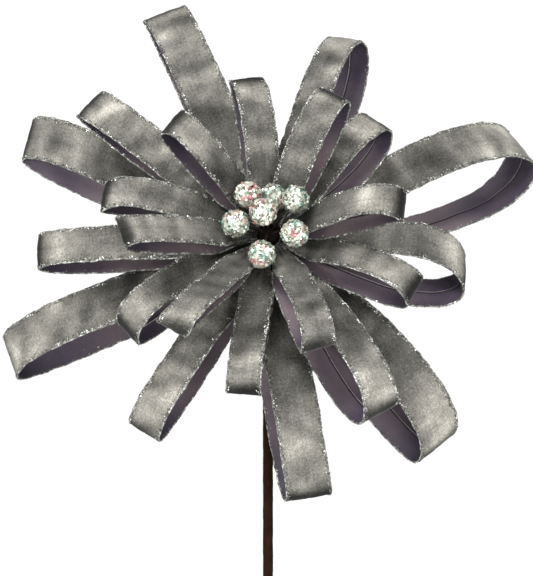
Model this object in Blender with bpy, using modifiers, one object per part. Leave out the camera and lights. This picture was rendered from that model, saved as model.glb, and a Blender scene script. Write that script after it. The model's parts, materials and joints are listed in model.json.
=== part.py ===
"""A ribbon-loop gift bow on a wired stem, in metres, +Z up.

The origin is the middle of the stem's cut end, and the stem runs up +Z. The bow's face looks along -Y and a
little up. Twenty-four wired ribbon loops stand in four rings on a taped bundle of wires, round seven glitter
balls on short wires. Every loop bends at its gathered root, every ball wire bends where it leaves the bundle,
and the whole head bends on the stem at the neck.
"""

import math

import bmesh
import bpy
from mathutils import Matrix, Vector

MM = 0.001
GAP = 0.3 * MM  # between pieces that touch

# Stem
NECK_HEIGHT = 190 * MM  # from the cut end to the bend of the neck
STEM_WIRE_RADIUS = 1.6 * MM
STEM_TAPE_RADIUS = 2.7 * MM
STEM_TAPE_TOP = 2.5 * MM  # the tape stops this far below the neck's bend
STEM_SIDES = 24

# Head: its own Z is the bow's axis, which points at the viewer and up by FACE_TILT
FACE_TILT = math.radians(25)
BUNDLE_FOOT = 2.0 * MM  # from the neck's bend to the bundle's lower end
BUNDLE_FOOT_RADIUS = 1.9 * MM
BUNDLE_SHOULDER = 4.0 * MM
BUNDLE_RADIUS = 5.5 * MM
BUNDLE_TOP = 22.0 * MM
BUNDLE_EDGE = 1.5 * MM
BUNDLE_SIDES = 32
BINDING_RADIUS = 0.45 * MM
BINDING_HEIGHTS = (8.0 * MM, 12.0 * MM, 16.0 * MM)

# Ribbon
RIBBON_THICKNESS = 0.8 * MM  # velvet, wire and taffeta glued together
HALF_GAP = 0.75 * MM  # half the distance between the two strands at the root
ROOT_WIDTH = 4.4 * MM  # the gathered end
ROOT_TAIL = 1.3 * MM  # the gathered end runs this far inside the bending line
ROOT_RING = 8.0 * MM  # radius of the circle on which the loops bend
BULGE = 1.2  # a higher value moves a loop's widest place towards its tip
TILT_SHARE = 0.5  # share of a loop's length over which a strand's tilt grows from the root
TILT_TURN = 0.35  # how far before and after the tip the front tilt gives way to the back one
SECTIONS = 22  # faces along a loop
ACROSS = 1  # faces over its width

# ring: height of the roots above the neck's bend, and the share of a loop's length over which it widens from
# its root
RINGS = {
    "long": (6.0 * MM, 0.42),
    "medium": (10.0 * MM, 0.38),
    "short_back": (14.0 * MM, 0.34),
    "short_front": (18.0 * MM, 0.34),
}
LONG_WIDTH = 22 * MM
MEDIUM_WIDTH = 18 * MM
SHORT_WIDTH = 16 * MM

# name, ring, width, root angle, direction, length (mm), lift, opening (mm), front and back lean, front and back
# tilt. Angles are in degrees. The root angle and the direction run anticlockwise from +X as the viewer sees the
# face. Lift raises the loop towards the viewer, opening is the widest gap between its strands, lean slides a
# strand sideways the more it stands off the loop's middle, and tilt turns a strand about its own length.
LOOPS = (
    ("long_loop_1", "long", LONG_WIDTH, 17, 32, 155, -22, 32, 30, 35, -2, 28),
    ("long_loop_2", "long", LONG_WIDTH, 103, 110, 156, -14, 14, -12, 16, 8, 0),
    ("long_loop_3", "long", LONG_WIDTH, 154, 144, 153, -22, 15, -28, -9, 33, 45),
    ("long_loop_4", "long", LONG_WIDTH, 213, 195, 134, -23, 28, -6, 16, 2, 25),
    ("long_loop_5", "long", LONG_WIDTH, 271, 280, 115, -16, 18, 4, 15, 14, -11),
    ("long_loop_6", "long", LONG_WIDTH, 319, 312, 119, -21, 30, 28, 3, -23, -10),
    ("medium_loop_1", "medium", MEDIUM_WIDTH, 70, 71, 114, -4, 25, 17, 29, 23, 1),
    ("medium_loop_2", "medium", MEDIUM_WIDTH, 135, 139, 109, -2, 11, -9, 7, 5, -4),
    ("medium_loop_3", "medium", MEDIUM_WIDTH, 179, 181, 103, -4, 15, 3, 1, -1, 3),
    ("medium_loop_4", "medium", MEDIUM_WIDTH, 241, 236, 101, -14, 22, -6, 7, -15, 7),
    ("medium_loop_5", "medium", MEDIUM_WIDTH, 304, 299, 99, 6, 24, 23, 19, 16, -7),
    ("medium_loop_6", "medium", MEDIUM_WIDTH, 354, 355, 90, -14, 20, 48, 41, 0, 20),
    ("short_loop_1", "short_front", SHORT_WIDTH, 6, 353, 70, 38, 17, 21, -34, 5, -4),
    ("short_loop_2", "short_back", SHORT_WIDTH, 38, 50, 74, 1, 16, 23, 31, 8, 1),
    ("short_loop_3", "short_front", SHORT_WIDTH, 60, 62, 67, 27, 15, 18, 10, 6, 6),
    ("short_loop_4", "short_back", SHORT_WIDTH, 95, 99, 71, 21, 12, -28, 13, -10, -4),
    ("short_loop_5", "short_front", SHORT_WIDTH, 119, 141, 66, 36, 14, -13, 4, -16, 3),
    ("short_loop_6", "short_back", SHORT_WIDTH, 154, 173, 74, 15, 16, -27, 32, -2, -5),
    ("short_loop_7", "short_front", SHORT_WIDTH, 186, 199, 79, 37, 9, -2, 4, -9, 8),
    ("short_loop_8", "short_back", SHORT_WIDTH, 210, 220, 77, 7, 17, -37, 9, -7, -5),
    ("short_loop_9", "short_front", SHORT_WIDTH, 240, 236, 80, 28, 13, -5, 31, -16, 0),
    ("short_loop_10", "short_back", SHORT_WIDTH, 256, 263, 77, 6, 12, -10, 12, -10, 0),
    ("short_loop_11", "short_front", SHORT_WIDTH, 298, 287, 72, 23, 14, 22, -2, 16, -6),
    ("short_loop_12", "short_back", SHORT_WIDTH, 337, 332, 72, 15, 17, 20, -2, 16, -9),
)

# Balls: number, how far the wire's foot stands from the bow's axis, and the ball's centre, all in millimetres:
# right, up, and out from the neck's bend
BALL_RADIUS = 6.5 * MM
BALL_WIRE_RADIUS = 0.55 * MM
BALL_WIRE_STEPS = 5
BALL_WIRE_RISE = 0.35  # share of the rise over which a wire stands straight
BALLS = (
    (1, 3.0, (-9.6, 10.7, 40)),
    (2, 3.0, (2.4, 12.1, 34)),
    (3, 3.0, (13.0, 7.8, 41)),
    (4, 0.0, (-2.4, -2.3, 48)),
    (5, 3.0, (-15.4, -4.4, 40)),
    (6, 3.0, (12.5, -10.2, 41)),
    (7, 3.0, (-2.9, -18.8, 36)),
)

VELVET = ("ribbon_velvet", (0.30, 0.29, 0.26, 1.0), 0.75, 0.0)
GLITTER = ("glitter", (0.75, 0.77, 0.76, 1.0), 0.25, 0.6)
BROWN_TAPE = ("floral_tape", (0.075, 0.035, 0.022, 1.0), 0.7, 0.0)
STEEL_WIRE = ("annealed_wire", (0.20, 0.19, 0.18, 1.0), 0.45, 0.9)


def clear_scene():
    for thing in list(bpy.data.objects):
        bpy.data.objects.remove(thing, do_unlink=True)


def make_material(spec):
    name, colour, roughness, metallic = spec
    material = bpy.data.materials.new(name)
    material.use_nodes = True
    shader = material.node_tree.nodes["Principled BSDF"]
    shader.inputs["Base Color"].default_value = colour
    shader.inputs["Roughness"].default_value = roughness
    shader.inputs["Metallic"].default_value = metallic
    material.diffuse_color = colour
    return material


def add_object(name, mesh, spec, parent=None):
    """Put a mesh or curve in the bow's collection, with a material of its own."""
    thing = bpy.data.objects.new(name, mesh)
    COLLECTION.objects.link(thing)
    mesh.materials.append(make_material((name + "_" + spec[0],) + spec[1:]))
    thing.parent = parent
    return thing


def mesh_from(bm, name):
    mesh = bpy.data.meshes.new(name)
    bm.to_mesh(mesh)
    bm.free()
    return mesh


def turned(name, profile, sides, spec, parent=None):
    """A solid of revolution about its own Z. The profile runs down its outer side, top to bottom."""
    bm = bmesh.new()
    points = [bm.verts.new((radius, 0.0, height)) for radius, height in profile]
    for upper, lower in zip(points, points[1:]):
        bm.edges.new((upper, lower))
    thing = add_object(name, mesh_from(bm, name), spec, parent)
    screw = thing.modifiers.new("turn", "SCREW")
    screw.steps = sides
    screw.render_steps = sides
    screw.use_merge_vertices = True
    screw.merge_threshold = 0.00001
    return thing


def arc(radius, centre_height, start, end, steps):
    """Points of a circle about the Z axis's point at centre_height, angles in degrees from the equator."""
    angles = [math.radians(start + (end - start) * i / steps) for i in range(steps + 1)]
    return [(radius * math.cos(a), centre_height + radius * math.sin(a)) for a in angles]


def build_stem():
    dome = arc(STEM_WIRE_RADIUS, NECK_HEIGHT, 90, 0, 5)
    dome[0] = (0.0, dome[0][1])
    wire_profile = dome + [(STEM_WIRE_RADIUS, 0.0), (0.0, 0.0)]
    turned("stem_wire", wire_profile, STEM_SIDES, STEEL_WIRE)
    top = NECK_HEIGHT - STEM_TAPE_TOP
    inner = STEM_WIRE_RADIUS + GAP
    tape_profile = [(inner, top), (STEM_TAPE_RADIUS, top), (STEM_TAPE_RADIUS, 0.0), (inner, 0.0), (inner, top)]
    turned("stem_tape", tape_profile, STEM_SIDES, BROWN_TAPE)


def build_bundle(head):
    profile = [
        (0.0, BUNDLE_TOP),
        (BUNDLE_RADIUS - BUNDLE_EDGE, BUNDLE_TOP),
        (BUNDLE_RADIUS, BUNDLE_TOP - BUNDLE_EDGE),
        (BUNDLE_RADIUS, BUNDLE_SHOULDER),
        (BUNDLE_FOOT_RADIUS, BUNDLE_FOOT),
        (0.0, BUNDLE_FOOT),
    ]
    turned("head_bundle", profile, BUNDLE_SIDES, BROWN_TAPE, head)
    for number, height in enumerate(BINDING_HEIGHTS, 1):
        ring = arc(BINDING_RADIUS, height, 90, -270, 8)
        middle = BUNDLE_RADIUS + GAP + BINDING_RADIUS
        profile = [(middle + radius, z) for radius, z in ring]
        turned(f"binding_wire_{number}", profile, BUNDLE_SIDES, STEEL_WIRE, head)


def smooth(value):
    value = min(1.0, max(0.0, value))
    return value * value * (3.0 - 2.0 * value)


def blend(first, second, amount):
    return first + (second - first) * amount


def loop_point(share, across, width, pinch, length, opening, leans, tilts):
    """A point of a loop's middle surface. Share runs 0 to 1 from the front root round the tip to the back
    root, and across runs -1 to 1 over the ribbon. X is the loop's length, Y its bending line, Z its front."""
    turn = math.pi * (2.0 * share - 1.0)
    along = (1.0 + math.cos(turn)) / 2.0  # 0 at the root, 1 at the tip
    facing = -math.sin(turn / 2.0)  # 1 at the front root, 0 at the tip, -1 at the back root
    widest = BULGE / (BULGE + 0.5)
    peak = widest**BULGE * math.sqrt(1.0 - widest)
    x = -ROOT_TAIL + (length + ROOT_TAIL) * along
    z = facing * (HALF_GAP + (opening / 2.0 - HALF_GAP) * along**BULGE / peak)
    half = blend(ROOT_WIDTH, width, smooth(along / pinch)) / 2.0
    tilt = blend(*tilts, smooth(0.5 - facing / (2.0 * TILT_TURN))) * smooth(along / TILT_SHARE)
    lean = leans[0] if facing > 0.0 else leans[1]
    y = across * half * math.cos(tilt) + z * math.tan(lean)
    return Vector((x, y, z - across * half * math.sin(tilt)))


def build_loop(spec, head):
    name, ring, width, root_angle, direction, length, lift, opening, *angles = spec
    height, pinch = RINGS[ring]
    front_lean, back_lean, front_tilt, back_tilt = (math.radians(angle) for angle in angles)
    bm = bmesh.new()
    bmesh.ops.create_grid(bm, x_segments=ACROSS, y_segments=SECTIONS, size=1.0)
    for vertex in bm.verts:
        vertex.co = loop_point(
            share=(vertex.co.y + 1.0) / 2.0,
            across=vertex.co.x,
            width=width,
            pinch=pinch,
            length=length * MM,
            opening=opening * MM,
            leans=(front_lean, back_lean),
            tilts=(front_tilt, back_tilt),
        )
    loop = add_object(name, mesh_from(bm, name), VELVET, head)
    place = math.radians(root_angle)
    loop.location = (ROOT_RING * math.cos(place), ROOT_RING * math.sin(place), height)
    loop.rotation_euler = (0.0, -math.radians(lift), math.radians(direction))
    solidify = loop.modifiers.new("ribbon", "SOLIDIFY")
    solidify.thickness = RIBBON_THICKNESS
    solidify.offset = 0.0


def build_ball(spec, head):
    """A ball and its wire. Both have their origin at the wire's foot, where the wire bends."""
    number, foot_radius, centre = spec
    centre = Vector(centre) * MM
    place = math.atan2(centre.y, centre.x)
    foot_radius *= MM
    foot = Vector((foot_radius * math.cos(place), foot_radius * math.sin(place), BUNDLE_TOP + GAP))
    reach = centre - foot
    bm = bmesh.new()
    bmesh.ops.create_icosphere(bm, subdivisions=3, radius=BALL_RADIUS)
    bmesh.ops.translate(bm, verts=bm.verts, vec=reach)
    ball = add_object(f"ball_{number}", mesh_from(bm, f"ball_{number}"), GLITTER, head)
    ball.location = foot
    curve = bpy.data.curves.new(f"ball_wire_{number}", "CURVE")
    curve.dimensions = "3D"
    curve.bevel_depth = BALL_WIRE_RADIUS
    curve.bevel_resolution = 1
    curve.use_fill_caps = True
    spline = curve.splines.new("POLY")
    spline.points.add(BALL_WIRE_STEPS)
    end = reach - reach.normalized() * (BALL_RADIUS + GAP)
    knee = Vector((0.0, 0.0, reach.z * BALL_WIRE_RISE))
    for i, point in enumerate(spline.points):
        t = i / BALL_WIRE_STEPS
        point.co = (*(knee * 2.0 * t * (1.0 - t) + end * t * t), 1.0)
    wire = add_object(f"ball_wire_{number}", curve, STEEL_WIRE, head)
    wire.location = foot


def main():
    build_stem()
    head = bpy.data.objects.new("head", None)
    COLLECTION.objects.link(head)
    head.location = (0.0, 0.0, NECK_HEIGHT)
    head.rotation_euler = (math.pi / 2.0 - FACE_TILT, 0.0, 0.0)
    build_bundle(head)
    for spec in LOOPS:
        build_loop(spec, head)
    for spec in BALLS:
        build_ball(spec, head)


clear_scene()
COLLECTION = bpy.data.collections.new("ribbon_bow")
bpy.context.scene.collection.children.link(COLLECTION)
main()
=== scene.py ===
"""The looks of a ribbon-loop gift bow on a taped stem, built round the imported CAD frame. Metres, +Z up.

Every CAD solid is replaced by detailed pieces that move with its body. A ribbon loop is a velvet sheet, a
taffeta lining, a wire sealed along the middle of the lining, and glitter glued to both edges.
"""
import json
import math

import bmesh
import bpy
import numpy as np
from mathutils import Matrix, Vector


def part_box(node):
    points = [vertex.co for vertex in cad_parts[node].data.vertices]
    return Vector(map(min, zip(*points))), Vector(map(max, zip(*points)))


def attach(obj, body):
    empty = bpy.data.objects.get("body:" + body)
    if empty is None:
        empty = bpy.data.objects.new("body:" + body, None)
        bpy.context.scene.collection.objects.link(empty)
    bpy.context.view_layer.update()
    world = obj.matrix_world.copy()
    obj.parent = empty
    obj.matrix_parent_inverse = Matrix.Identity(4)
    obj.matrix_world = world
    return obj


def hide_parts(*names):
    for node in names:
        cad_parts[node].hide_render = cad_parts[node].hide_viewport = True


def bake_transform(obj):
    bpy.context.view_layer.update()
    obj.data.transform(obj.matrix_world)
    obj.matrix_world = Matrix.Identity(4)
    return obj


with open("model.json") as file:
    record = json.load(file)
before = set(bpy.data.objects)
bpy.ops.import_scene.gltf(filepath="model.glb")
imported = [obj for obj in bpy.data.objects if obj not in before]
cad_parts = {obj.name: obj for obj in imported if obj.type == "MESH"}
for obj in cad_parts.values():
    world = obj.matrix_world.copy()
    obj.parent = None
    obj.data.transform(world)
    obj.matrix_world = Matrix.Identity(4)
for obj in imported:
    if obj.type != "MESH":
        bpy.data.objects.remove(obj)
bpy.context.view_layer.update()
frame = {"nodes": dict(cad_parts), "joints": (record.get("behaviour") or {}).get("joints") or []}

MM = 0.001

# Camera: level with the bow's face, at the distance of a product photograph
CAMERA_DISTANCE = 1.6
CAMERA_AIM = 15 * MM  # out from the neck along the bow's axis
CAMERA_SHIFT = (-0.72 * MM, -24 * MM)  # across and down
VIEW_HEIGHT = 276.5 * MM  # what the picture's height shows at the bow
SENSOR = 24.0

# The set
FLOOR_RADIUS = 16.0
WORLD_LIGHT = 0.45
KEY_LIGHT = 2.9
KEY_ANGLE = 28.0  # degrees across, so its shadows are soft
KEY_FROM = (-0.45, -1.0, 1.05)

# A loop's shape, as in CAD
HALF_GAP = 0.75 * MM
ROOT_WIDTH = 4.4 * MM
ROOT_TAIL = 1.3 * MM
BULGE = 1.2
WIDEST = BULGE / (BULGE + 0.5)
PEAK = WIDEST**BULGE * math.sqrt(1.0 - WIDEST)
TILT_SHARE = 0.5
TILT_TURN = 0.35
RIBBONS = {"long": (22 * MM, 0.42), "medium": (18 * MM, 0.38), "short": (16 * MM, 0.34)}  # width, pinch

# Painted light on the velvet at five places from the root to the tip: painted shade near the root, rising to a
# painted highlight towards the tip. Each loop varies them a little.
PAINTED_LIGHT_LEVELS = (0.34, 0.42, 0.50, 0.58, 0.64)  # from 0, black, to 1, pale
PAINTED_LIGHT_PLACES = (0.25, 0.45, 0.62, 0.78, 0.92)
PAINTED_LIGHT_SPREAD = 0.11  # how much one loop differs from the next
# painted shade on the turn of each tip, where the velvet turns away from view
PAINTED_TURN_SHADE_LENGTH = 4.0 * MM  # how far the dark turn of a tip reaches along the cloth
# how wide the painted shade along the middle crease of the velvet is
PAINTED_CREASE_SHADE_WIDTH = 1.1 * MM

# Each loop's own shape, as in CAD: length and opening in millimetres, then front lean, back lean, front tilt and
# back tilt in degrees. The last value is how dark the painted shade on the turn of its tip is.
LOOPS = {
    "long_loop_1": (155, 32, 30, 35, -2, 28, 0.95),
    "long_loop_2": (156, 14, -12, 16, 8, 0, 0.80),
    "long_loop_3": (153, 15, -28, -9, 33, 45, 0.85),
    "long_loop_4": (134, 28, -6, 16, 2, 25, 0.60),
    "long_loop_5": (115, 18, 4, 15, 14, -11, 0.80),
    "long_loop_6": (119, 30, 28, 3, -23, -10, 0.55),
    "medium_loop_1": (114, 25, 17, 29, 23, 1, 0.95),
    "medium_loop_2": (109, 11, -9, 7, 5, -4, 0.75),
    "medium_loop_3": (103, 15, 3, 1, -1, 3, 1.00),
    "medium_loop_4": (101, 22, -6, 7, -15, 7, 0.55),
    "medium_loop_5": (99, 24, 23, 19, 16, -7, 0.60),
    "medium_loop_6": (90, 20, 48, 41, 0, 20, 0.90),
    "short_loop_1": (70, 17, 21, -34, 5, -4, 0.80),
    "short_loop_2": (74, 16, 23, 31, 8, 1, 0.85),
    "short_loop_3": (67, 15, 18, 10, 6, 6, 0.95),
    "short_loop_4": (71, 12, -28, 13, -10, -4, 0.70),
    "short_loop_5": (66, 14, -13, 4, -16, 3, 0.70),
    "short_loop_6": (74, 16, -27, 32, -2, -5, 0.95),
    "short_loop_7": (79, 9, -2, 4, -9, 8, 0.50),
    "short_loop_8": (77, 17, -37, 9, -7, -5, 0.70),
    "short_loop_9": (80, 13, -5, 31, -16, 0, 0.50),
    "short_loop_10": (77, 12, -10, 12, -10, 0, 0.70),
    "short_loop_11": (72, 14, 22, -2, 16, -6, 0.45),
    "short_loop_12": (72, 17, 20, -2, 16, -9, 0.90),
}

# Layers: lowest and highest surface, out from the middle of the laminate
VELVET_LAYER = (-0.05 * MM, 0.40 * MM)
LINING_LAYER = (-0.30 * MM, -0.12 * MM)
SEAM_RADIUS = 0.34 * MM
# a thin pale tube beside the seam wire, a painted highlight
HIGHLIGHT_LINE_RADIUS = 0.20 * MM
HIGHLIGHT_LINE_OFFSET = 0.62 * MM
COLUMNS = 21
ROW_STEP = 2.2 * MM
ROW_TURN = 0.16

# Relief of the cloth
CROWN = 0.45 * MM
GROOVE_DEPTH = 0.16 * MM
GROOVE_WIDTH = 0.9 * MM
PLEATS = 3.0
PLEAT_HEIGHT = 0.55 * MM
DRIFT = 0.45 * MM
FLUTTER = 0.40 * MM
CRUSH = 0.10 * MM
EDGE_WOBBLE = 0.16 * MM

# Glitter
EDGE_FLAKES = 8000  # for each metre of edge
EDGE_BAND = 1.9 * MM
EDGE_ON_TOP = 0.72  # the share of flakes that lie on the velvet
FLAKE_TURN = 0.55
BEAD_RADIUS = 0.42 * MM
BEAD_STEP = 0.9 * MM
EDGE_FLAKE_SIZES = (0.20 * MM, 0.46 * MM)  # smallest and largest radius
EDGE_FLAKE_THICKNESS = 0.14 * MM
STRAY_FLAKES = 9000  # for each square metre of ribbon
BALL_FLAKES = 800
BALL_FLAKE_SIZES = (0.55 * MM, 1.15 * MM)
BALL_FLAKE_THICKNESS = 0.22 * MM
BALL_CORE_SHARE = 0.90  # of the ball's radius
BALL_TINTS = (0.56, 0.40, 0.36, 0.46, 0.38, 0.42, 0.36)  # from 0, teal, to 1, red


# ---- Numbers and noise ----


def smooth(value):
    value = np.clip(value, 0.0, 1.0)
    return value * value * (3.0 - 2.0 * value)


def waves(seed, points, wavelength, count=7):
    """Smooth noise of about -1.5 to 1.5 at points, from plane waves in random directions."""
    rng = np.random.default_rng(seed)
    points = np.asarray(points, float)
    total = np.zeros(points.shape[:-1])
    for _ in range(count):
        direction = rng.normal(size=points.shape[-1])
        direction /= np.linalg.norm(direction)
        length = wavelength * rng.uniform(0.7, 1.6)
        total += np.sin(points @ direction * (2.0 * math.pi / length) + rng.uniform(0.0, 2.0 * math.pi))
    return total / math.sqrt(count)


def unit(vectors):
    return vectors / np.maximum(np.linalg.norm(vectors, axis=-1, keepdims=True), 1e-12)


# ---- Meshes ----


def add_object(name, points, faces, material, crease=None):
    """A mesh object from an array of points and a list of faces. It shades sharp past the crease angle."""
    mesh = bpy.data.meshes.new(name)
    mesh.from_pydata(np.asarray(points).reshape(-1, 3).tolist(), [], faces)
    mesh.materials.append(material)
    if crease is not None:
        mesh.shade_smooth()
        mesh.set_sharp_from_angle(angle=math.radians(crease))
    made = bpy.data.objects.new(name, mesh)
    bpy.context.scene.collection.objects.link(made)
    return made


def set_attribute(thing, name, values):
    layer = thing.data.attributes.new(name, "FLOAT", "POINT")
    layer.data.foreach_set("value", np.ascontiguousarray(values, np.float32).ravel())


def set_uv(thing, values):
    """A UV map in metres of cloth, from one pair for each point."""
    layer = thing.data.uv_layers.new(name="cloth")
    corners = np.zeros(len(thing.data.loops), int)
    thing.data.loops.foreach_get("vertex_index", corners)
    layer.data.foreach_set("uv", np.ascontiguousarray(values[corners], np.float32).ravel())


def grid(rows, columns, wrap=False):
    """Quads over points that are numbered row by row. Wrap joins the last column to the first."""
    index = np.arange(rows * columns).reshape(rows, columns)
    if wrap:
        index = np.hstack([index, index[:, :1]])
    quads = [index[:-1, :-1], index[1:, :-1], index[1:, 1:], index[:-1, 1:]]
    return np.stack(quads, -1).reshape(-1, 4)


def closed_sheet(rows, columns):
    """Faces of a thin closed sheet between an upper grid of points and a lower one that follows it."""
    count = rows * columns
    upper = grid(rows, columns)
    index = np.arange(count).reshape(rows, columns)
    ring = np.concatenate([index[0], index[1:, -1], index[-1, -2::-1], index[-2:0:-1, 0]])
    after = np.roll(ring, -1)
    rim = np.stack([ring, after, after + count, ring + count], -1)
    return np.vstack([upper, upper[:, ::-1] + count, rim])


def path_frames(path):
    """Two unit vectors across a path at each of its points, turning as little as they can."""
    along = unit(np.gradient(path, axis=0))
    first = np.zeros_like(path)
    guess = np.eye(3)[np.argmin(np.abs(along[0]))]
    for i, direction in enumerate(along):
        guess = unit(guess - direction * (guess @ direction))
        first[i] = guess
    return first, np.cross(along, first)


def rings(path, radius, sides):
    """Rings of points round a path. Radius is one number, or one for each point of each ring."""
    path = np.asarray(path)
    first, second = path_frames(path)
    angle = 2.0 * math.pi * np.arange(sides) / sides
    radius = np.broadcast_to(np.asarray(radius, float), (len(path), sides))[..., None]
    outward = np.cos(angle)[None, :, None] * first[:, None] + np.sin(angle)[None, :, None] * second[:, None]
    return path[:, None] + radius * outward


def tube(path, radius, sides):
    """Points and faces of a solid tube along a path, with flat ends."""
    points = rings(path, radius, sides)
    count = len(points)
    faces = grid(count, sides, wrap=True)[:, ::-1].tolist()
    faces.append(list(range(sides))[::-1])
    faces.append(list(range((count - 1) * sides, count * sides)))
    return points.reshape(-1, 3), faces


def sleeve(path, outer, inner, sides):
    """Points and faces of a hollow tube along a path, open at both ends."""
    points = np.vstack([rings(path, outer, sides).reshape(-1, 3), rings(path, inner, sides).reshape(-1, 3)])
    count = len(path) * sides
    outside = grid(len(path), sides, wrap=True)[:, ::-1]
    start = np.arange(sides)
    after = np.roll(start, -1)
    low = np.stack([start, after, after + count, start + count], -1)
    end = count - sides
    high = np.stack([after + end, start + end, start + end + count, after + end + count], -1)
    return points, np.vstack([outside, outside[:, ::-1] + count, low, high]).tolist()


def join(parts):
    """Points and faces of several meshes as one."""
    points, faces = [], []
    count = 0
    for part_points, part_faces in parts:
        points.append(np.asarray(part_points).reshape(-1, 3))
        faces += [[index + count for index in face] for face in part_faces]
        count += len(points[-1])
    return np.vstack(points), faces


def flakes(centres, normals, radii, thickness, corners, rng):
    """Points and faces of thin double pyramids, each facing along its normal."""
    first = unit(np.cross(normals, rng.normal(size=normals.shape)))
    second = np.cross(normals, first)
    angle = 2.0 * math.pi * (np.arange(corners) + rng.random((len(centres), 1))) / corners
    around = np.cos(angle)[..., None] * first[:, None] + np.sin(angle)[..., None] * second[:, None]
    rim = centres[:, None] + radii[:, None, None] * around
    ends = np.array([1.0, -1.0])[None, :, None] * normals[:, None] * thickness / 2.0
    points = np.concatenate([rim, centres[:, None] + ends], axis=1)
    corner = np.arange(corners)
    after = np.roll(corner, -1)
    upper = np.stack([corner, after, np.full(corners, corners)], -1)
    lower = np.stack([after, corner, np.full(corners, corners + 1)], -1)
    starts = np.arange(len(centres)) * (corners + 2)
    faces = (np.vstack([upper, lower])[None] + starts[:, None, None]).reshape(-1, 3)
    return points.reshape(-1, 3), faces.tolist()


# ---- Materials ----


def put(tree, kind, inputs=(), **settings):
    """A node with its settings and inputs. An input is a value or another node's output."""
    made = tree.nodes.new("ShaderNode" + kind)
    for key, value in settings.items():
        setattr(made, key, value)
    for key, value in dict(inputs).items():
        if isinstance(value, bpy.types.NodeSocket):
            tree.links.new(value, made.inputs[key])
        else:
            made.inputs[key].default_value = value
    return made


def start_material(name, **values):
    """A Principled material with constant values on its sockets."""
    material = bpy.data.materials.new(name)
    material.use_nodes = True
    shader = material.node_tree.nodes["Principled BSDF"]
    for key, value in values.items():
        shader.inputs[key.replace("_", " ")].default_value = value
    return material, material.node_tree, shader


def mix(tree, amount, first, second, blend="MIX"):
    made = put(tree, "Mix", {0: amount, 6: first, 7: second}, data_type="RGBA", blend_type=blend)
    return made.outputs[2]


def ramp(tree, factor, stops, smooth_steps=True):
    """A colour ramp's output. Stops are places and linear colours."""
    made = put(tree, "ValToRGB", {"Fac": factor})
    made.color_ramp.interpolation = "LINEAR" if smooth_steps else "CONSTANT"
    elements = made.color_ramp.elements
    while len(elements) < len(stops):
        elements.new(1.0)
    for element, (place, colour) in zip(elements, stops):
        element.position = place
        element.color = (*colour, 1.0)
    return made.outputs["Color"]


def maths(tree, operation, first, second=0.0, third=0.0):
    made = put(tree, "Math", {0: first, 1: second, 2: third}, operation=operation)
    return made.outputs[0]


def noise(tree, vector, scale, detail=3.0, roughness=0.5, distortion=0.0):
    settings = {"Scale": scale, "Detail": detail, "Roughness": roughness, "Distortion": distortion}
    return put(tree, "TexNoise", {"Vector": vector, **settings}).outputs["Fac"]


def stretched_noise(tree, vector, scales):
    """Noise with its own scale along each axis."""
    return noise(tree, put(tree, "Mapping", {"Vector": vector, "Scale": scales}).outputs[0], 1.0, 3.0)


def make_velvet():
    material, tree, shader = start_material(
        "velvet", Roughness=0.82, Sheen_Weight=0.22, Sheen_Roughness=0.35, Specular_IOR_Level=0.22
    )
    cloth = put(tree, "UVMap", uv_map="cloth").outputs["UV"]
    # This attribute carries painted shade and painted highlights with random patches; the noises below add
    # crushed pile and streaks.
    tone_and_painted_light = put(tree, "Attribute", attribute_name="tone_and_painted_light").outputs["Fac"]
    crush = noise(tree, cloth, 75.0, 4.0, 0.55, 1.2)
    streak = stretched_noise(tree, cloth, (160, 900, 1))
    brushed = stretched_noise(tree, cloth, (800, 130, 1))
    pile = noise(tree, cloth, 1900.0, 2.0, 0.7)
    tufts = noise(tree, cloth, 850.0, 2.0, 0.6)
    value = maths(tree, "MULTIPLY_ADD", crush, 0.34, maths(tree, "SUBTRACT", tone_and_painted_light, 0.17))
    value = maths(tree, "MULTIPLY_ADD", streak, 0.14, maths(tree, "SUBTRACT", value, 0.07))
    value = maths(tree, "MULTIPLY_ADD", brushed, 0.16, maths(tree, "SUBTRACT", value, 0.08))
    value = maths(tree, "MULTIPLY_ADD", pile, 0.55, maths(tree, "SUBTRACT", value, 0.275))
    value = maths(tree, "MULTIPLY_ADD", tufts, 0.40, maths(tree, "SUBTRACT", value, 0.20))
    colour = ramp(
        tree,
        value,
        [
            (0.00, (0.006, 0.006, 0.0055)),
            (0.25, (0.028, 0.027, 0.024)),
            (0.50, (0.090, 0.087, 0.077)),
            (0.75, (0.230, 0.220, 0.193)),
            (1.00, (0.540, 0.515, 0.450)),
        ],
    )
    tree.links.new(colour, shader.inputs["Base Color"])
    bump = put(tree, "Bump", {"Height": pile, "Distance": 0.00012, "Strength": 0.55})
    tree.links.new(bump.outputs[0], shader.inputs["Normal"])
    return material


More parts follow.
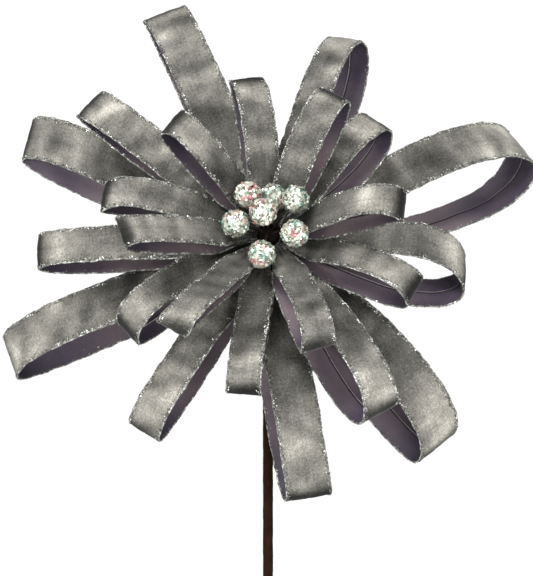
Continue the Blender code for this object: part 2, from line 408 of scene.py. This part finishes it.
def make_lining():
    material, tree, shader = start_material(
        "taffeta_lining", Roughness=0.52, Sheen_Weight=0.12, Sheen_Roughness=0.4, Specular_IOR_Level=0.35
    )
    cloth = put(tree, "UVMap", uv_map="cloth").outputs["UV"]
    # This attribute carries painted shade near the root and the tip, with random patches.
    tone_and_painted_light = put(tree, "Attribute", attribute_name="tone_and_painted_light").outputs["Fac"]
    cloud = noise(tree, cloth, 60.0, 3.0)
    slub = noise(tree, cloth, 900.0, 2.0, 0.6)
    value = maths(tree, "MULTIPLY_ADD", cloud, 0.35, maths(tree, "SUBTRACT", tone_and_painted_light, 0.175))
    value = maths(tree, "MULTIPLY_ADD", slub, 0.30, maths(tree, "SUBTRACT", value, 0.15))
    colour = ramp(
        tree,
        value,
        [
            (0.0, (0.018, 0.013, 0.023)),
            (0.4, (0.062, 0.047, 0.072)),
            (0.8, (0.160, 0.125, 0.142)),
            (1.0, (0.270, 0.215, 0.215)),
        ],
    )
    warp = put(tree, "TexWave", {"Vector": cloth, "Scale": 620.0, "Distortion": 0.4}, bands_direction="X")
    weft = put(tree, "TexWave", {"Vector": cloth, "Scale": 480.0, "Distortion": 0.6}, bands_direction="Y")
    weave = maths(tree, "MULTIPLY", warp.outputs["Fac"], weft.outputs["Fac"])
    darker = mix(tree, 1.0, colour, (0.80, 0.80, 0.80, 1.0), "MULTIPLY")
    tree.links.new(mix(tree, weave, darker, colour), shader.inputs["Base Color"])
    bump = put(tree, "Bump", {"Height": weave, "Distance": 0.00006, "Strength": 0.5})
    tree.links.new(bump.outputs[0], shader.inputs["Normal"])
    return material


def make_seam():
    material, tree, shader = start_material("sealed_wire", Roughness=0.5, Specular_IOR_Level=0.4)
    place = put(tree, "TexCoord").outputs["Object"]
    mottle = noise(tree, place, 900.0, 2.0)
    wire = ramp(tree, mottle, [(0.3, (0.008, 0.006, 0.010)), (0.75, (0.030, 0.021, 0.032))])
    # painted highlight: the pale colour of the thin tube beside the wire
    painted_highlight_line = ramp(tree, mottle, [(0.3, (0.24, 0.20, 0.22)), (0.75, (0.52, 0.47, 0.48))])
    is_painted_highlight_line = put(tree, "Attribute", attribute_name="painted_highlight_line").outputs["Fac"]
    tree.links.new(mix(tree, is_painted_highlight_line, wire, painted_highlight_line), shader.inputs["Base Color"])
    bump = put(tree, "Bump", {"Height": mottle, "Distance": 0.00005, "Strength": 0.4})
    tree.links.new(bump.outputs[0], shader.inputs["Normal"])
    return material


def make_edge_glitter():
    material, tree, shader = start_material("silver_glitter", Metallic=0.45, Roughness=0.32, Coat_Weight=0.2)
    painted_glint = put(tree, "Attribute", attribute_name="painted_glint").outputs["Fac"]
    # Each flake's brightness is a painted glint, picked at random, from dark grey to white.
    colour = ramp(
        tree,
        painted_glint,
        [
            (0.00, (0.040, 0.043, 0.037)),
            (0.25, (0.140, 0.145, 0.130)),
            (0.50, (0.330, 0.335, 0.310)),
            (0.75, (0.600, 0.600, 0.570)),
            (1.00, (0.950, 0.950, 0.920)),
        ],
    )
    place = put(tree, "TexCoord").outputs["Object"]
    fleck = noise(tree, place, 2500.0, 1.0)
    shade = ramp(tree, fleck, [(0.35, (0.72, 0.72, 0.70)), (0.65, (1.0, 1.0, 1.0))])
    tree.links.new(mix(tree, 1.0, colour, shade, "MULTIPLY"), shader.inputs["Base Color"])
    return material


def make_ball_glitter():
    material, tree, shader = start_material(
        "iridescent_glitter", Metallic=0.55, Roughness=0.20, Coat_Weight=0.5, Coat_Roughness=0.08
    )
    tint = put(tree, "Attribute", attribute_name="tint").outputs["Fac"]
    painted_glint = put(tree, "Attribute", attribute_name="painted_glint").outputs["Fac"]
    hue = ramp(
        tree,
        tint,
        [
            (0.00, (0.40, 0.74, 0.62)),
            (0.12, (0.68, 0.88, 0.78)),
            (0.28, (0.88, 0.92, 0.83)),
            (0.55, (0.94, 0.91, 0.81)),
            (0.70, (0.93, 0.74, 0.69)),
            (0.84, (0.88, 0.30, 0.32)),
            (1.00, (0.78, 0.48, 0.58)),
        ],
    )
    # Each flake's brightness is a painted glint, picked at random, and scales its colour.
    shade = ramp(
        tree,
        painted_glint,
        [
            (0.0, (0.16, 0.17, 0.15)),
            (0.3, (0.45, 0.47, 0.44)),
            (0.6, (0.85, 0.86, 0.82)),
            (1.0, (1.0, 1.0, 1.0)),
        ],
    )
    tree.links.new(mix(tree, 1.0, hue, shade, "MULTIPLY"), shader.inputs["Base Color"])
    return material


def make_ball_core():
    material, tree, shader = start_material("glue_core", Roughness=0.45, Specular_IOR_Level=0.5)
    place = put(tree, "TexCoord").outputs["Object"]
    lumps = noise(tree, place, 700.0, 3.0)
    colour = ramp(tree, lumps, [(0.3, (0.020, 0.028, 0.022)), (0.7, (0.14, 0.16, 0.14))])
    tree.links.new(colour, shader.inputs["Base Color"])
    bump = put(tree, "Bump", {"Height": lumps, "Distance": 0.0002, "Strength": 0.6})
    tree.links.new(bump.outputs[0], shader.inputs["Normal"])
    return material


def make_tape(name, dark, light):
    """Crepe floral tape: fine creases along the wire, and waxy mottling."""
    material, tree, shader = start_material(name, Roughness=0.6, Specular_IOR_Level=0.03)
    place = put(tree, "TexCoord").outputs["Object"]
    creases = stretched_noise(tree, place, (2600, 2600, 260))
    mottle = noise(tree, place, 240.0, 3.0)
    value = maths(tree, "MULTIPLY_ADD", creases, 0.55, maths(tree, "MULTIPLY", mottle, 0.5))
    colour = ramp(tree, value, [(0.30, dark), (0.75, light)])
    tree.links.new(colour, shader.inputs["Base Color"])
    bump = put(tree, "Bump", {"Height": creases, "Distance": 0.00012, "Strength": 0.5})
    tree.links.new(bump.outputs[0], shader.inputs["Normal"])
    return material


def make_wire(name, dark, light, metallic):
    material, tree, shader = start_material(name, Metallic=metallic, Roughness=0.42)
    place = put(tree, "TexCoord").outputs["Object"]
    stain = noise(tree, place, 800.0, 3.0)
    colour = ramp(tree, stain, [(0.35, dark), (0.70, light)])
    tree.links.new(colour, shader.inputs["Base Color"])
    return material


VELVET = make_velvet()
LINING = make_lining()
SEAM = make_seam()
EDGE_GLITTER = make_edge_glitter()
BALL_GLITTER = make_ball_glitter()
BALL_CORE = make_ball_core()
STEM_TAPE = make_tape("stem_tape", (0.0060, 0.0025, 0.0012), (0.0290, 0.0125, 0.0070))
HEAD_TAPE = make_tape("head_tape", (0.003, 0.002, 0.002), (0.012, 0.008, 0.006))
BARE_WIRE = make_wire("bare_wire", (0.09, 0.085, 0.08), (0.24, 0.23, 0.21), 0.9)
DARK_WIRE = make_wire("dark_wire", (0.015, 0.010, 0.008), (0.05, 0.035, 0.028), 0.3)


# ---- The frame ----


def cad_points(node):
    mesh = frame["nodes"][node].data
    points = np.zeros(len(mesh.vertices) * 3)
    mesh.vertices.foreach_get("co", points)
    return points.reshape(-1, 3)


JOINTS = {joint["child"]: joint for joint in frame["joints"]}
NECK = np.array(JOINTS["head"]["pos_m"])


def middle_of(node):
    low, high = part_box(node)
    return np.array((low + high) / 2.0)


BOW_AXIS = unit(middle_of("binding_wire_3") - middle_of("binding_wire_1"))
RIGHT = np.array((1.0, 0.0, 0.0))
UP_THE_FACE = np.cross(BOW_AXIS, RIGHT)


# ---- Ribbon loops ----


class Loop:
    """One ribbon loop, drawn again round its CAD solid with its cloth's relief."""

    def __init__(self, name, seed):
        self.name = name
        self.seed = seed
        self.width, self.pinch = RIBBONS[name.split("_")[0]]
        length, opening, *angles, self.painted_turn_shade = LOOPS[name]
        spread = np.random.default_rng(seed + 40).uniform(-PAINTED_LIGHT_SPREAD, PAINTED_LIGHT_SPREAD, len(PAINTED_LIGHT_LEVELS))
        self.painted_light_levels = np.array(PAINTED_LIGHT_LEVELS) + spread
        self.length = length * MM
        self.opening = opening * MM
        front_lean, back_lean, *tilts = (math.radians(angle) for angle in angles)
        self.leans = (math.tan(front_lean), math.tan(back_lean))
        self.tilts = tilts
        self.foot = np.array(JOINTS[name]["pos_m"])
        self.side = -np.array(JOINTS[name]["axis"])
        reach = cad_points(name).mean(axis=0) - self.foot
        self.out = unit(reach - self.side * (reach @ self.side))
        self.front = np.cross(self.out, self.side)
        self.measure()

    def section(self, share):
        """Along (0 at the root, 1 at the tip), facing (1 in front, -1 behind), X, Z and half the width."""
        turn = math.pi * (2.0 * share - 1.0)
        along = (1.0 + np.cos(turn)) / 2.0
        facing = -np.sin(turn / 2.0)
        x = -ROOT_TAIL + (self.length + ROOT_TAIL) * along
        z = facing * (HALF_GAP + (self.opening / 2.0 - HALF_GAP) * along**BULGE / PEAK)
        half = (ROOT_WIDTH + (self.width - ROOT_WIDTH) * smooth(along / self.pinch)) / 2.0
        return along, facing, x, z, half

    def middle(self, share, across):
        """Points of the laminate's middle surface, in the loop's own X, Y and Z."""
        _, facing, x, z, half = self.section(share)
        along = (x + ROOT_TAIL) / (self.length + ROOT_TAIL)
        front, back = self.tilts
        tilt = front + (back - front) * smooth(0.5 - facing / (2.0 * TILT_TURN))
        tilt = tilt * smooth(along / TILT_SHARE)
        y = across * half * np.cos(tilt) + z * np.where(facing > 0.0, *self.leans)
        return np.stack(np.broadcast_arrays(x, y, z - across * half * np.sin(tilt)), -1)

    def normal(self, share, across):
        """The outward normal of the middle surface."""
        share = np.clip(share, 0.01, 0.99)
        around = self.middle(share + 0.002, across) - self.middle(share - 0.002, across)
        over = self.middle(share, across + 0.01) - self.middle(share, across - 0.01)
        return unit(np.cross(around, over))

    def measure(self):
        """The length of cloth up to each share, and rows that crowd where the cloth bends."""
        self.shares = np.linspace(0.0, 1.0, 3001)
        steps = np.linalg.norm(np.diff(self.middle(self.shares, 0.0), axis=0), axis=1)
        self.arcs = np.concatenate([[0.0], np.cumsum(steps)])
        normals = self.normal(self.shares, 0.0)
        turns = np.linalg.norm(np.diff(normals, axis=0), axis=1)
        effort = np.concatenate([[0.0], np.cumsum(steps / ROW_STEP + turns / ROW_TURN)])
        count = math.ceil(effort[-1])
        self.rows = np.interp(np.linspace(0.0, effort[-1], count + 1), effort, self.shares)

    def arc(self, share):
        return np.interp(share, self.shares, self.arcs)

    def relief(self, share, across):
        """How far the cloth stands off the plain loop, along its outward normal."""
        along, facing, _, _, half = self.section(share)
        arc = self.arc(share)
        cloth = np.stack([across * half, arc], -1)
        open_share = smooth(along / self.pinch)
        rng = np.random.default_rng(self.seed)
        pleats = np.cos(math.pi * PLEATS * across + rng.uniform(0.0, 2.0 * math.pi))
        height = PLEAT_HEIGHT * (1.0 - open_share) * facing * pleats
        height += CROWN * (1.0 - across**2) * open_share
        height -= GROOVE_DEPTH * np.exp(-((across * half / GROOVE_WIDTH) ** 2)) * open_share
        height += DRIFT * open_share * waves(self.seed + 1, arc[..., None], 45 * MM) * 0.6
        sides = np.stack([np.sign(across) * 1.0, arc], -1)
        height += FLUTTER * open_share * across**2 * waves(self.seed + 2, sides, 22 * MM) * 0.6
        height += CRUSH * open_share * waves(self.seed + 3, cloth, 9 * MM)
        return height

    def surface(self, share, across, height):
        """World points on the ribbon. Height is measured outwards from the middle of the laminate."""
        share, across, height = np.broadcast_arrays(share, across, height)
        _, _, _, _, half = self.section(share)
        edges = np.stack([np.sign(across) * 1.0, self.arc(share)], -1)
        wobble = EDGE_WOBBLE * across**2 * np.sign(across) * waves(self.seed + 4, edges, 7 * MM)
        height = height + self.relief(share, across)
        local = self.middle(share, across + wobble / half) + self.normal(share, across) * height[..., None]
        return self.foot + local @ np.array((self.out, self.side, self.front))

    def outward(self, share, across):
        return self.normal(share, across) @ np.array((self.out, self.side, self.front))


def velvet_tone(loop, share, across):
    """How pale the velvet is, from 0 to 1: random patches, painted shade at the root, on the tip's turn and
    along the crease, and a painted highlight towards the tip.
    """
    along, _, _, _, half = loop.section(share)
    arc = loop.arc(share)
    from_tip = np.abs(arc - loop.arcs[-1] / 2.0)
    cloth = np.stack([across * half, arc], -1)
    patches = waves(loop.seed + 11, cloth, 30 * MM)
    strokes = waves(loop.seed + 12, cloth * np.array((0.5, 1.0)), 11 * MM)
    # painted shade near the root, rising to a painted highlight towards the tip, varied for each loop
    painted_light = np.interp(along, PAINTED_LIGHT_PLACES, loop.painted_light_levels)
    # painted shade on the turn of the tip
    turn = loop.painted_turn_shade * np.exp(-((from_tip / PAINTED_TURN_SHADE_LENGTH) ** 2))
    # painted shade near the root, in the middle of the bow
    painted_root_shade = 0.22 * (1.0 - smooth(along / 0.28))
    # painted shade along the middle crease of the velvet
    crease = 0.04 * np.exp(-((across * half / PAINTED_CREASE_SHADE_WIDTH) ** 2))
    return 0.03 + painted_light + 0.09 * patches + 0.08 * strokes - painted_root_shade - turn - crease


def lining_tone(loop, share, across):
    """How pale the lining is, from 0 to 1: painted shade on the turn of the tip and near the root, and random
    patches.
    """
    along, _, _, _, half = loop.section(share)
    cloth = np.stack([across * half, loop.arc(share)], -1)
    patches = waves(loop.seed + 13, cloth, 30 * MM)
    # painted shade near the root and the tip, lighter in between
    painted_lining_light = smooth(along / 0.35) * (1.0 - smooth((along - 0.62) / 0.36))
    return 0.30 + 0.45 * painted_lining_light + 0.09 * patches


def make_layer(loop, kind, layer, material, tone_and_painted_light):
    """A closed sheet of one layer of the ribbon."""
    share = loop.rows[:, None]
    across = np.linspace(-1.0, 1.0, COLUMNS)[None, :]
    low, high = layer
    points = np.concatenate([loop.surface(share, across, high), loop.surface(share, across, low)])
    rows = len(loop.rows)
    made = add_object(
        f"{loop.name}_{kind}", points, closed_sheet(rows, COLUMNS).tolist(), material, crease=50
    )
    share, across = np.broadcast_arrays(share, across)
    _, _, _, _, half = loop.section(share)
    cloth = np.stack([across * half, loop.arc(share) + loop.seed], -1).reshape(-1, 2)
    set_uv(made, np.vstack([cloth, cloth]))
    # painted shade and painted highlights, with random patches, at each point
    shade = tone_and_painted_light(loop, share, across).ravel()
    set_attribute(made, "tone_and_painted_light", np.concatenate([shade, shade]))
    return made


def make_seam_wire(loop):
    """The wire sealed along the middle of the lining, and a thin pale tube beside it that is a painted
    highlight.
    """
    _, _, _, _, half = loop.section(loop.rows)
    wire = tube(loop.surface(loop.rows, 0.0, LINING_LAYER[0] - 0.10 * MM), SEAM_RADIUS, 8)
    beside = HIGHLIGHT_LINE_OFFSET / half * smooth(half / (5.0 * MM))
    # a thin pale tube beside the wire, a painted highlight
    painted_highlight_line = tube(loop.surface(loop.rows, beside, LINING_LAYER[0] - 0.02 * MM), HIGHLIGHT_LINE_RADIUS, 6)
    points, faces = join([wire, painted_highlight_line])
    made = add_object(f"{loop.name}_wire", points, faces, SEAM, crease=60)
    set_attribute(made, "painted_highlight_line", np.repeat([0.0, 1.0], [len(wire[0]), len(painted_highlight_line[0])]))
    return made


def make_edges(loop):
    """Glue beads along both edges, glitter on them, and the stray flakes that lie on the cloth."""
    rng = np.random.default_rng(loop.seed + 20)
    total = loop.arcs[-1]
    count = int(2 * total * EDGE_FLAKES)
    arc = rng.uniform(0.0, total, count)
    share = np.interp(arc, loop.arcs, loop.shares)
    _, _, _, _, half = loop.section(share)
    inward = rng.triangular(-0.22, 0.25, 1.0, count) * EDGE_BAND * half / half.max()
    across = rng.choice([-1.0, 1.0], count) * (1.0 - inward / half)
    on_top = rng.random(count) < EDGE_ON_TOP
    height = np.where(on_top, rng.uniform(0.32, 0.70, count), rng.uniform(-0.42, 0.32, count)) * MM
    stray = int(total * loop.width * STRAY_FLAKES)
    stray_share = np.interp(rng.uniform(0.0, total, stray), loop.arcs, loop.shares)
    stray_across = rng.uniform(-0.95, 0.95, stray)
    lies_on = np.where(rng.random(stray) < 0.5, VELVET_LAYER[1], LINING_LAYER[0])
    share = np.concatenate([share, stray_share])
    across = np.concatenate([across, stray_across])
    height = np.concatenate([height, lies_on])
    along, _, _, _, _ = loop.section(share)
    centres = loop.surface(share, across, height)
    normals = unit(loop.outward(share, across) + rng.normal(scale=FLAKE_TURN, size=centres.shape))
    radii = rng.uniform(*EDGE_FLAKE_SIZES, len(centres))
    radii[count:] *= 0.6
    flake_mesh = flakes(centres, normals, radii, EDGE_FLAKE_THICKNESS, 4, rng)
    parts = [flake_mesh]
    # painted glints: a random brightness for each flake, brighter in patches
    painted_glint_patches = 0.85 + 0.40 * waves(loop.seed + 14, centres, 5 * MM)
    # painted shade: the glints are dimmer towards the root of the loop
    painted_glint = rng.beta(1.0, 1.35, len(centres)) * painted_glint_patches * (0.25 + 0.75 * smooth(along / 0.22))
    painted_glints = [np.repeat(painted_glint, 6)]
    for side in (-1.0, 1.0):
        lengths = np.arange(0.0, total, BEAD_STEP)
        along_edge = np.interp(lengths, loop.arcs, loop.shares)
        path = loop.surface(along_edge, side, 0.02 * MM)
        size = BEAD_RADIUS * (1.0 + 0.22 * rng.uniform(-1.0, 1.0, (len(path), 8)))
        parts.append(tube(path, size, 8))
        # painted glints on the beads
        painted_glints.append(np.repeat(rng.beta(2.0, 3.4, len(path)), 8))
    points, faces = join(parts)
    made = add_object(f"{loop.name}_glitter", points, faces, EDGE_GLITTER)
    set_attribute(made, "painted_glint", np.concatenate(painted_glints))
    return made


def build_loop(name, seed):
    loop = Loop(name, seed)
    velvet = make_layer(loop, "velvet", VELVET_LAYER, VELVET, velvet_tone)
    lining = make_layer(loop, "lining", LINING_LAYER, LINING, lining_tone)
    wire = make_seam_wire(loop)
    glitter = make_edges(loop)
    for piece in (velvet, lining, wire, glitter):
        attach(piece, name)
    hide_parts(name)


# ---- Balls ----


def sphere_points(count, rng):
    """Evenly spread unit vectors, a little shaken."""
    step = np.arange(count) + 0.5
    height = 1.0 - 2.0 * step / count
    turn = math.pi * (1.0 + math.sqrt(5.0)) * step
    ring = np.sqrt(1.0 - height**2)
    points = np.stack([ring * np.cos(turn), ring * np.sin(turn), height], -1)
    return unit(points + rng.normal(scale=0.03, size=points.shape))


def build_ball(number):
    name = f"ball_{number}"
    low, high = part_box(name)
    centre = np.array((low + high) / 2.0)
    radius = float(high.z - low.z) / 2.0
    rng = np.random.default_rng(500 + number)
    bm = bmesh.new()
    bmesh.ops.create_icosphere(bm, subdivisions=4, radius=1.0)
    mesh = bpy.data.meshes.new(f"{name}_core")
    for vertex in bm.verts:
        bump = waves(510 + number, np.array(vertex.co), 0.45)
        vertex.co = Vector(centre) + vertex.co * radius * (BALL_CORE_SHARE + 0.02 * float(bump))
    bm.to_mesh(mesh)
    bm.free()
    mesh.shade_smooth()
    mesh.materials.append(BALL_CORE)
    core = bpy.data.objects.new(f"{name}_core", mesh)
    bpy.context.scene.collection.objects.link(core)
    outward = sphere_points(BALL_FLAKES, rng)
    depth = rng.uniform(0.88, 1.0, BALL_FLAKES)
    centres = centre + outward * radius * depth[:, None]
    normals = unit(outward + rng.normal(scale=0.38, size=outward.shape))
    radii = rng.uniform(*BALL_FLAKE_SIZES, BALL_FLAKES)
    points, faces = flakes(centres, normals, radii, BALL_FLAKE_THICKNESS, 6, rng)
    glitter = add_object(f"{name}_flakes", points, faces, BALL_GLITTER)
    patch = waves(520 + number, outward, 0.9)
    shaken = rng.normal(scale=0.10, size=BALL_FLAKES)
    tint = np.clip(BALL_TINTS[number - 1] + 0.24 * patch + shaken, 0.0, 1.0)
    # painted glints: a random brightness for each flake
    painted_glint = rng.beta(1.2, 1.0, BALL_FLAKES)
    set_attribute(glitter, "tint", np.repeat(tint, 8))
    set_attribute(glitter, "painted_glint", np.repeat(painted_glint, 8))
    for piece in (core, glitter):
        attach(piece, name)
    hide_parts(name)
    build_ball_wire(number, centre, radius)


def build_ball_wire(number, centre, radius):
    """Two thin wires twisted together, from the bundle up into the ball."""
    name = f"ball_wire_{number}"
    foot = np.array(JOINTS[f"ball_{number}"]["pos_m"])
    reach = centre - foot
    end = reach - unit(reach) * radius * 0.8
    knee = BOW_AXIS * (reach @ BOW_AXIS) * 0.35
    t = np.linspace(0.0, 1.0, 40)[:, None]
    path = foot + knee * 2.0 * t * (1.0 - t) + end * t * t
    first, second = path_frames(path)
    twist = t * np.linalg.norm(end) / (3.6 * MM) * 2.0 * math.pi
    strands = []
    for start in (0.0, math.pi):
        offset = 0.26 * MM * (np.cos(twist + start) * first + np.sin(twist + start) * second)
        strands.append(tube(path + offset, 0.27 * MM, 8))
    points, faces = join(strands)
    wire = add_object(f"{name}_twist", points, faces, DARK_WIRE, crease=50)
    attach(wire, f"ball_{number}")
    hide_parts(name)


# ---- Stem and bundle ----

BEND_LENGTH = 10 * MM  # the stem starts to bend this far below the neck
STRAND_RADIUS = 0.5 * MM
STRAND_PITCH = 45 * MM
TAPE_RADIUS = 2.35 * MM
TAPE_STEP = 0.16 * MM
TAPE_PITCH = 17 * MM
TAPE_INSIDE = 1.62 * MM
STRAND_LAY_RADIUS = 1.02 * MM  # from the stem's axis to the middle of an outer strand
BUNDLE_RADIUS = 5.0 * MM
BINDING_RADIUS = 0.22 * MM
BINDING_REACH = 5.75 * MM
BINDING_TURNS = 3.4


def stem_path(step, past_neck):
    """Up the stem's axis and round the bend into the bow's axis."""
    below = NECK - np.array((0.0, 0.0, BEND_LENGTH))
    beyond = NECK + BOW_AXIS * past_neck
    straight = np.linspace((0.0, 0.0, 0.0), below, int(below[2] / step), endpoint=False)
    t = np.linspace(0.0, 1.0, int(1.2 * (BEND_LENGTH + past_neck) / step))[:, None]
    bend = below * (1.0 - t) ** 2 + NECK * 2.0 * t * (1.0 - t) + beyond * t * t
    return np.vstack([straight, bend])


def arc_of(path):
    return np.concatenate([[0.0], np.cumsum(np.linalg.norm(np.diff(path, axis=0), axis=1))])


def build_stem():
    path = stem_path(1.4 * MM, 4 * MM)
    first, second = path_frames(path)
    lay = (arc_of(path) / STRAND_PITCH * 2.0 * math.pi)[:, None]
    strands = [tube(path, STRAND_RADIUS, 10)]
    for number in range(6):
        angle = lay + number * math.pi / 3.0
        offset = STRAND_LAY_RADIUS * (np.cos(angle) * first + np.sin(angle) * second)
        strands.append(tube(path + offset, STRAND_RADIUS, 10))
    points, faces = join(strands)
    core = add_object("stem_strands", points, faces, BARE_WIRE, crease=50)
    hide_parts("stem_wire")

    path = stem_path(0.55 * MM, 9 * MM)
    sides = 56
    arc = arc_of(path)[:, None]
    angle = 2.0 * math.pi * np.arange(sides)[None, :] / sides
    wrap = (arc / TAPE_PITCH - angle / (2.0 * math.pi)) % 1.0
    lap = np.where(wrap < 0.10, wrap / 0.10, 1.0 - 0.75 * (wrap - 0.10) / 0.90)
    place = np.stack(np.broadcast_arrays(np.cos(angle), np.sin(angle), arc / (2.4 * MM)), -1)
    creases = waves(700, place * np.array((3.0, 3.0, 0.22)), 1.0, 12)
    lumps = waves(701, place * np.array((0.6, 0.6, 0.30)), 1.6)
    outer = TAPE_RADIUS + TAPE_STEP * lap + 0.03 * MM * creases + 0.02 * MM * lumps
    spread = smooth((arc - NECK[2]) / (9 * MM))
    outer = outer + 1.8 * MM * spread
    points, faces = sleeve(path, outer, TAPE_INSIDE, sides)
    tape = add_object("stem_wrap", points, faces, STEM_TAPE, crease=60)
    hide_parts("stem_tape")
    for piece in (core, tape):
        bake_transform(piece)


def build_bundle():
    """The taped bundle of wires in the middle of the head, with its domed end."""
    low = min((cad_points("head_bundle") - NECK) @ BOW_AXIS)
    high = max((cad_points("head_bundle") - NECK) @ BOW_AXIS)
    steps = np.linspace(low + 1.0 * MM, high + 0.2 * MM, 54)
    path = NECK + steps[:, None] * BOW_AXIS
    sides = 64
    share = (steps - low) / (high - low)
    widen = 0.45 + 0.55 * smooth(share / 0.16)
    dome = np.sqrt(np.clip(1.0 - ((share - 0.90) / 0.115).clip(0.0, 1.0) ** 2, 0.004, 1.0))
    angle = 2.0 * math.pi * np.arange(sides)[None, :] / sides
    lobes = 0.24 * MM * np.cos(9.0 * angle + steps[:, None] / (9 * MM))
    wrap = (steps[:, None] / (6.5 * MM) - angle / (2.0 * math.pi)) % 1.0
    lap = 0.26 * MM * np.where(wrap < 0.12, wrap / 0.12, 1.0 - (wrap - 0.12) / 0.88)
    radius = (BUNDLE_RADIUS + lobes + lap) * (widen * dome)[:, None]
    points, faces = tube(path, radius, sides)
    wrap_piece = add_object("head_wrap", points, faces, HEAD_TAPE, crease=60)
    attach(wrap_piece, "head")
    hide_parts("head_bundle")
    for number in (1, 2, 3):
        name = f"binding_wire_{number}"
        height = (middle_of(name) - NECK) @ BOW_AXIS
        turn = np.linspace(0.0, BINDING_TURNS * 2.0 * math.pi, 240)
        climb = height + (turn / turn[-1] - 0.5) * 1.5 * MM
        reach = BINDING_REACH + 0.05 * MM * np.cos(9.0 * turn)
        path = NECK + climb[:, None] * BOW_AXIS
        path = path + (reach * np.cos(turn))[:, None] * RIGHT + (reach * np.sin(turn))[:, None] * UP_THE_FACE
        points, faces = tube(path, BINDING_RADIUS, 8)
        coil = add_object(f"{name}_coil", points, faces, BARE_WIRE, crease=50)
        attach(coil, "head")
        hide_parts(name)


# ---- The set ----


def area_light(name, place, target, size, power, colour=(1.0, 1.0, 1.0)):
    data = bpy.data.lights.new(name, "AREA")
    data.shape = "DISK"
    data.size = size
    data.energy = power
    data.color = colour
    light = bpy.data.objects.new(name, data)
    bpy.context.scene.collection.objects.link(light)
    light.location = place
    light.rotation_euler = (Vector(target) - Vector(place)).to_track_quat("-Z", "Y").to_euler()


def build_set():
    """A pale floor and a white backdrop all round, a soft high key light, and fills."""
    paint, tree, shader = start_material("floor_paint", Roughness=0.9, Specular_IOR_Level=0.1)
    speckle = noise(tree, put(tree, "TexCoord").outputs["Object"], 3.0)
    colour = ramp(tree, speckle, [(0.3, (0.95, 0.95, 0.95)), (0.7, (0.97, 0.97, 0.97))])
    tree.links.new(colour, shader.inputs["Base Color"])
    bpy.ops.mesh.primitive_circle_add(vertices=128, radius=FLOOR_RADIUS, fill_type="NGON")
    floor = bpy.context.object
    floor.name = "floor"
    floor.location.z = -0.5 * MM
    floor.data.materials.append(paint)
    white = (1.0, 1.0, 1.0, 1.0)
    glow, tree, shader = start_material("backdrop_white", Emission_Color=white, Emission_Strength=1.0)
    shader.inputs["Base Color"].default_value = (0.0, 0.0, 0.0, 1.0)
    bpy.ops.mesh.primitive_uv_sphere_add(segments=64, ring_count=32, radius=FLOOR_RADIUS)
    backdrop = bpy.context.object
    backdrop.name = "backdrop"
    backdrop.data.materials.append(glow)
    backdrop.visible_diffuse = False
    backdrop.visible_glossy = False
    backdrop.visible_shadow = False
    world = bpy.data.worlds.new("studio")
    world.use_nodes = True
    background = world.node_tree.nodes["Background"]
    background.inputs["Color"].default_value = (1.0, 1.0, 1.0, 1.0)
    background.inputs["Strength"].default_value = WORLD_LIGHT
    bpy.context.scene.world = world
    key = bpy.data.lights.new("key", "SUN")
    key.energy = KEY_LIGHT
    key.angle = math.radians(KEY_ANGLE)
    sun = bpy.data.objects.new("key", key)
    bpy.context.scene.collection.objects.link(sun)
    sun.rotation_euler = (-Vector(KEY_FROM)).to_track_quat("-Z", "Y").to_euler()
    aim = tuple(NECK + BOW_AXIS * 20 * MM)
    area_light("fill", (0.9, -1.6, 0.1), aim, 0.5, 9.0)
    area_light("painted_glint_left", (-0.9, -1.2, 0.5), aim, 0.16, 7.0)
    area_light("painted_glint_right", (0.7, -1.3, 0.9), aim, 0.16, 7.0)
    bpy.context.scene.view_settings.view_transform = "Standard"


def build_camera():
    data = bpy.data.cameras.new("camera")
    data.sensor_fit = "AUTO"
    data.sensor_width = SENSOR
    data.lens = SENSOR * CAMERA_DISTANCE / VIEW_HEIGHT
    camera = bpy.data.objects.new("camera", data)
    bpy.context.scene.collection.objects.link(camera)
    aim = NECK + BOW_AXIS * CAMERA_AIM
    camera.location = (aim[0] + CAMERA_SHIFT[0], aim[1] - CAMERA_DISTANCE, aim[2] + CAMERA_SHIFT[1])
    camera.rotation_euler = (math.pi / 2.0, 0.0, 0.0)
    bpy.context.scene.camera = camera


build_camera()
build_set()
build_stem()
build_bundle()
for seed, loop_name in enumerate(sorted(name for name in JOINTS if "_loop_" in name)):
    build_loop(loop_name, 1 + seed)
for ball_number in range(1, 8):
    build_ball(ball_number)

bpy.context.view_layer.update()
